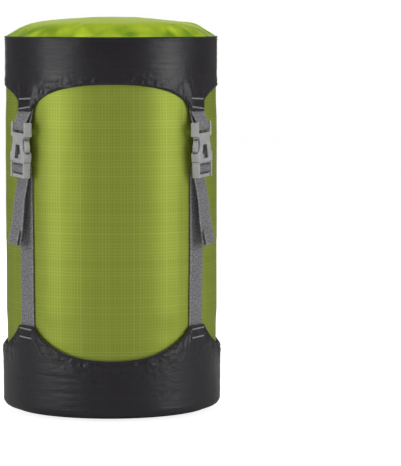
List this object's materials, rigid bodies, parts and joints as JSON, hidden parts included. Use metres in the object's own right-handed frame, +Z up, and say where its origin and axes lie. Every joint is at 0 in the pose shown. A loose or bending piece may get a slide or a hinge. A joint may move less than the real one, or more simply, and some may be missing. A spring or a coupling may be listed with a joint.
{
  "type": "compression sack",
  "caption": "Upright fabric compression sack with a lift-off lid, a scalloped base band and webbing straps joined by side-release buckles.",
  "frame": {"origin": "centre of the flat end panel that the sack stands on, at the bottom centre of its box", "axes": "+Z up along the sack, front towards -Y, +X to the right"},
  "size_m": [0.2192, 0.2192, 0.392],
  "materials": {
    "body_ripstop": "green ripstop nylon with a woven grid",
    "crown_nylon": "bright yellow-green coated nylon",
    "band_nylon": "shiny dark grey nylon with fine wrinkles",
    "edge_tape": "woven binding tape",
    "webbing": "grey flat webbing",
    "moulded_nylon": "satin moulded nylon",
    "eyelet_metal": "satin metal"
  },
  "bodies": {
    "base": {"base_end_panel": "body_ripstop", "base_band": "band_nylon", "base_binding": "edge_tape", "body_tube": "body_ripstop", "base_strap_front_left": "webbing", "base_strap_front_right": "webbing", "base_strap_back_right": "webbing", "base_strap_back_left": "webbing"},
    "mouth": {"mouth_hem": "body_ripstop", "cord_eyelet": "eyelet_metal"},
    "lid": {"lid_crown": "crown_nylon", "lid_band": "band_nylon", "lid_binding": "edge_tape", "top_loop_front_left": "webbing", "female_buckle_front_left": "moulded_nylon", "top_loop_front_right": "webbing", "female_buckle_front_right": "moulded_nylon", "top_loop_back_right": "webbing", "female_buckle_back_right": "moulded_nylon", "top_loop_back_left": "webbing", "female_buckle_back_left": "moulded_nylon"},
    "adjuster_front_left": {"male_buckle_front_left": "moulded_nylon", "strap_tail_front_left": "webbing"},
    "adjuster_front_right": {"male_buckle_front_right": "moulded_nylon", "strap_tail_front_right": "webbing"},
    "adjuster_back_right": {"male_buckle_back_right": "moulded_nylon", "strap_tail_back_right": "webbing"},
    "adjuster_back_left": {"male_buckle_back_left": "moulded_nylon", "strap_tail_back_left": "webbing"},
    "latch_front_left_a": {"latch_arm_front_left_a": "moulded_nylon"},
    "latch_front_left_b": {"latch_arm_front_left_b": "moulded_nylon"},
    "latch_front_right_a": {"latch_arm_front_right_a": "moulded_nylon"},
    "latch_front_right_b": {"latch_arm_front_right_b": "moulded_nylon"},
    "latch_back_right_a": {"latch_arm_back_right_a": "moulded_nylon"},
    "latch_back_right_b": {"latch_arm_back_right_b": "moulded_nylon"},
    "latch_back_left_a": {"latch_arm_back_left_a": "moulded_nylon"},
    "latch_back_left_b": {"latch_arm_back_left_b": "moulded_nylon"}
  },
  "joints": [
    {"name": "compress", "type": "slide", "parent": "base", "child": "mouth", "axis": [0, 0, -1], "range_m": [0, 0.1], "deforming": ["body_tube", "base_strap_front_left", "base_strap_front_right", "base_strap_back_right", "base_strap_back_left"]},
    {"name": "lid_lift", "type": "slide", "parent": "mouth", "child": "lid", "axis": [0, 0, 1], "range_m": [0, 0.22]},
    {"name": "unclip_front_left", "type": "slide", "parent": "mouth", "child": "adjuster_front_left", "axis": [0, 0, -1], "range_m": [0, 0.03]},
    {"name": "unclip_front_right", "type": "slide", "parent": "mouth", "child": "adjuster_front_right", "axis": [0, 0, -1], "range_m": [0, 0.03]},
    {"name": "unclip_back_right", "type": "slide", "parent": "mouth", "child": "adjuster_back_right", "axis": [0, 0, -1], "range_m": [0, 0.03]},
    {"name": "unclip_back_left", "type": "slide", "parent": "mouth", "child": "adjuster_back_left", "axis": [0, 0, -1], "range_m": [0, 0.03]},
    {"name": "pinch_front_left", "type": "hinge", "parent": "adjuster_front_left", "child": "latch_front_left_a", "pos_m": [-0.09267, -0.06227, 0.25568], "axis": [0.8572, 0.515, 0], "range_deg": [0, 8], "stiffness_Nm_per_rad": 0.01, "deforming": ["latch_arm_front_left_a"]},
    {"name": "pinch_front_left_b", "type": "hinge", "parent": "adjuster_front_left", "child": "latch_front_left_b", "pos_m": [-0.08392, -0.07682, 0.25479], "axis": [-0.8572, -0.515, 0], "range_deg": [0, 8], "stiffness_Nm_per_rad": 0.01, "deforming": ["latch_arm_front_left_b"]},
    {"name": "pinch_front_right", "type": "hinge", "parent": "adjuster_front_right", "child": "latch_front_right_a", "pos_m": [0.08392, -0.07682, 0.25479], "axis": [-0.8572, 0.515, 0], "range_deg": [0, 8], "stiffness_Nm_per_rad": 0.01, "deforming": ["latch_arm_front_right_a"]},
    {"name": "pinch_front_right_b", "type": "hinge", "parent": "adjuster_front_right", "child": "latch_front_right_b", "pos_m": [0.09267, -0.06227, 0.25568], "axis": [0.8572, -0.515, 0], "range_deg": [0, 8], "stiffness_Nm_per_rad": 0.01, "deforming": ["latch_arm_front_right_b"]},
    {"name": "pinch_back_right", "type": "hinge", "parent": "adjuster_back_right", "child": "latch_back_right_a", "pos_m": [0.09267, 0.06227, 0.25568], "axis": [-0.8572, -0.515, 0], "range_deg": [0, 8], "stiffness_Nm_per_rad": 0.01, "deforming": ["latch_arm_back_right_a"]},
    {"name": "pinch_back_right_b", "type": "hinge", "parent": "adjuster_back_right", "child": "latch_back_right_b", "pos_m": [0.08392, 0.07682, 0.25479], "axis": [0.8572, 0.515, 0], "range_deg": [0, 8], "stiffness_Nm_per_rad": 0.01, "deforming": ["latch_arm_back_right_b"]},
    {"name": "pinch_back_left", "type": "hinge", "parent": "adjuster_back_left", "child": "latch_back_left_a", "pos_m": [-0.08392, 0.07682, 0.25479], "axis": [0.8572, -0.515, 0], "range_deg": [0, 8], "stiffness_Nm_per_rad": 0.01, "deforming": ["latch_arm_back_left_a"]},
    {"name": "pinch_back_left_b", "type": "hinge", "parent": "adjuster_back_left", "child": "latch_back_left_b", "pos_m": [-0.09267, 0.06227, 0.25568], "axis": [-0.8572, 0.515, 0], "range_deg": [0, 8], "stiffness_Nm_per_rad": 0.01, "deforming": ["latch_arm_back_left_b"]}
  ],
  "couplings": [
    {"joint": "pinch_front_left_b", "follows": "pinch_front_left", "ratio": 1},
    {"joint": "pinch_front_right_b", "follows": "pinch_front_right", "ratio": 1},
    {"joint": "pinch_back_right_b", "follows": "pinch_back_right", "ratio": 1},
    {"joint": "pinch_back_left_b", "follows": "pinch_back_left", "ratio": 1}
  ]
}
